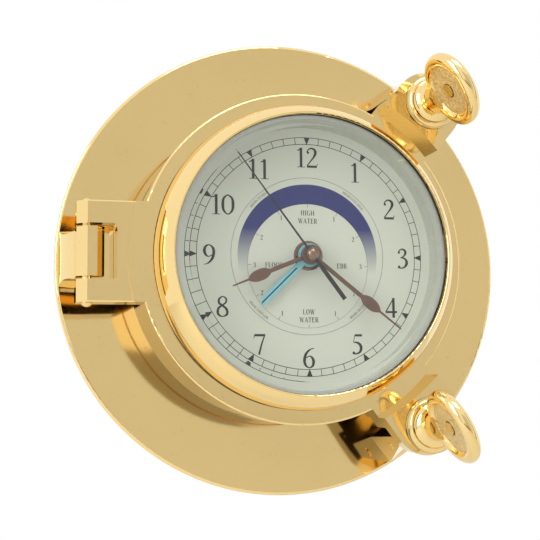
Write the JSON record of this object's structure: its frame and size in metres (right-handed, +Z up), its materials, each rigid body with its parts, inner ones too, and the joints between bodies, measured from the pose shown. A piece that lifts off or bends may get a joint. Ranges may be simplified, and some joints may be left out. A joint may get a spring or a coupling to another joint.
{
  "type": "tide clock",
  "caption": "Wall-mounted tide and time clock in a polished brass porthole case, with a hinged glazed door and swing bolts with eye nuts.",
  "frame": {"origin": "centre of the flat rear face of the flange, on the wall", "axes": "+Z up to 12 o'clock, -Y out of the wall towards the reader, +X to the reader's right"},
  "size_m": [0.216, 0.0901, 0.216],
  "materials": {
    "polished_brass": "polished",
    "fitting_brass": "polished",
    "screw_brass": "satin",
    "hanger_steel": "zinc plated",
    "clear_glass": "bevelled and polished",
    "gasket_rubber": "matt",
    "inner_ring_silver": "satin anodised",
    "dial_print": "printed, satin",
    "spacer_grey": "moulded",
    "cover_black": "moulded",
    "case_black": "moulded",
    "bush_bronze": "satin",
    "board_green": "lacquered",
    "coil_copper": "enamelled wire",
    "stator_iron": "plain",
    "contact_steel": "nickel plated",
    "cell_wrap": "printed sleeve",
    "wheel_white": "moulded",
    "magnet_grey": "plain",
    "knob_black": "ridged",
    "hand_black": "satin",
    "hand_brown": "satin",
    "hand_blue": "satin"
  },
  "bodies": {
    "wall_frame": {"flange": "polished_brass", "case_barrel": "polished_brass", "barrel_screws": "screw_brass", "hinge_bracket": "polished_brass", "bracket_screws": "screw_brass", "hinge_pin": "fitting_brass", "upper_fork": "polished_brass", "lower_fork": "polished_brass", "upper_fork_pin": "fitting_brass", "lower_fork_pin": "fitting_brass", "fork_screws": "screw_brass", "wall_hanger": "hanger_steel", "hanger_screws": "hanger_steel"},
    "door": {"door_ring": "polished_brass", "bezel": "polished_brass", "bezel_screws": "screw_brass", "glass": "clear_glass", "glass_gasket": "gasket_rubber", "inner_ring": "inner_ring_silver", "dial": "dial_print", "spacer_ring": "spacer_grey", "rear_cover": "cover_black", "cover_screws": "hanger_steel", "movement_front_case": "case_black", "movement_back_case": "case_black", "centre_bush": "bush_bronze", "bush_nut": "bush_bronze", "bush_washer": "bush_bronze", "rubber_washer": "gasket_rubber", "circuit_board": "board_green", "drive_coil": "coil_copper", "stator": "stator_iron", "battery_cell": "cell_wrap", "battery_contacts": "contact_steel"},
    "second_arbor": {"second_hand": "hand_black", "centre_cap": "bush_bronze", "seconds_wheel": "wheel_white"},
    "minute_arbor": {"minute_hand": "hand_brown", "minute_wheel": "wheel_white"},
    "hour_arbor": {"hour_hand": "hand_brown", "hour_wheel": "wheel_white"},
    "tide_arbor": {"tide_hand": "hand_blue", "tide_wheel": "wheel_white"},
    "rotor_arbor": {"rotor": "magnet_grey"},
    "step_arbor": {"step_wheel": "wheel_white"},
    "third_arbor": {"third_wheel": "wheel_white"},
    "motion_arbor": {"motion_wheel": "wheel_white", "time_set_knob": "knob_black"},
    "transfer_arbor": {"tide_transfer_wheel": "wheel_white", "tide_set_knob": "knob_black"},
    "upper_dog": {"upper_swing_bolt": "fitting_brass"},
    "upper_washer": {"upper_foot_washer": "fitting_brass"},
    "upper_nut": {"upper_eye_nut": "fitting_brass", "upper_nut_pin": "fitting_brass"},
    "lower_dog": {"lower_swing_bolt": "fitting_brass"},
    "lower_washer": {"lower_foot_washer": "fitting_brass"},
    "lower_nut": {"lower_eye_nut": "fitting_brass", "lower_nut_pin": "fitting_brass"}
  },
  "joints": [
    {"name": "door_hinge", "type": "hinge", "parent": "wall_frame", "child": "door", "pos_m": [-0.0955, -0.0345, 0.0012], "axis": [0, 0, -1], "range_deg": [0, 110]},
    {"name": "second_spin", "type": "hinge", "parent": "door", "child": "second_arbor", "pos_m": [0, -0.034, 0], "axis": [0, 1, 0], "continuous": true},
    {"name": "rotor_spin", "type": "hinge", "parent": "door", "child": "rotor_arbor", "pos_m": [0.00955, -0.034, 0.00955], "axis": [0, 1, 0], "continuous": true},
    {"name": "step_spin", "type": "hinge", "parent": "door", "child": "step_arbor", "pos_m": [0.00495, -0.034, 0.00495], "axis": [0, 1, 0], "continuous": true},
    {"name": "third_spin", "type": "hinge", "parent": "door", "child": "third_arbor", "pos_m": [-0.00658, -0.034, -0.00239], "axis": [0, 1, 0], "continuous": true},
    {"name": "minute_spin", "type": "hinge", "parent": "door", "child": "minute_arbor", "pos_m": [0, -0.034, 0], "axis": [0, 1, 0], "continuous": true},
    {"name": "motion_spin", "type": "hinge", "parent": "door", "child": "motion_arbor", "pos_m": [-0.0035, -0.034, 0.00606], "axis": [0, 1, 0], "continuous": true},
    {"name": "hour_spin", "type": "hinge", "parent": "door", "child": "hour_arbor", "pos_m": [0, -0.034, 0], "axis": [0, 1, 0], "continuous": true},
    {"name": "transfer_spin", "type": "hinge", "parent": "door", "child": "transfer_arbor", "pos_m": [0.00658, -0.034, -0.00239], "axis": [0, 1, 0], "continuous": true},
    {"name": "tide_spin", "type": "hinge", "parent": "door", "child": "tide_arbor", "pos_m": [0, -0.034, 0], "axis": [0, 1, 0], "continuous": true},
    {"name": "upper_dog_swing", "type": "hinge", "parent": "door", "child": "upper_dog", "pos_m": [0.06081, -0.025, 0.07377], "axis": [-0.7716, 0, 0.6361], "range_deg": [0, 75]},
    {"name": "upper_washer_slide", "type": "slide", "parent": "upper_dog", "child": "upper_washer", "axis": [0, -1, 0], "range_m": [0, 0.00375]},
    {"name": "upper_nut_spin", "type": "hinge", "parent": "upper_washer", "child": "upper_nut", "pos_m": [0.05935, -0.073, 0.07199], "axis": [0, -1, 0], "range_deg": [0, 1080]},
    {"name": "lower_dog_swing", "type": "hinge", "parent": "door", "child": "lower_dog", "pos_m": [0.057, -0.025, -0.07675], "axis": [0.8028, 0, 0.5962], "range_deg": [0, 75]},
    {"name": "lower_washer_slide", "type": "slide", "parent": "lower_dog", "child": "lower_washer", "axis": [0, -1, 0], "range_m": [0, 0.00375]},
    {"name": "lower_nut_spin", "type": "hinge", "parent": "lower_washer", "child": "lower_nut", "pos_m": [0.05563, -0.073, -0.0749], "axis": [0, -1, 0], "range_deg": [0, 1080]}
  ],
  "couplings": [
    {"joint": "rotor_spin", "follows": "second_spin", "ratio": 30},
    {"joint": "step_spin", "follows": "second_spin", "ratio": -6},
    {"joint": "third_spin", "follows": "second_spin", "ratio": -0.13333},
    {"joint": "minute_spin", "follows": "second_spin", "ratio": 0.016667},
    {"joint": "motion_spin", "follows": "second_spin", "ratio": -0.0055556},
    {"joint": "hour_spin", "follows": "second_spin", "ratio": 0.0013889},
    {"joint": "transfer_spin", "follows": "second_spin", "ratio": -0.00067096},
    {"joint": "tide_spin", "follows": "second_spin", "ratio": 0.0013419},
    {"joint": "upper_nut_spin", "follows": "upper_washer_slide", "rad_per_m": 5026.5},
    {"joint": "lower_nut_spin", "follows": "lower_washer_slide", "rad_per_m": 5026.5}
  ]
}
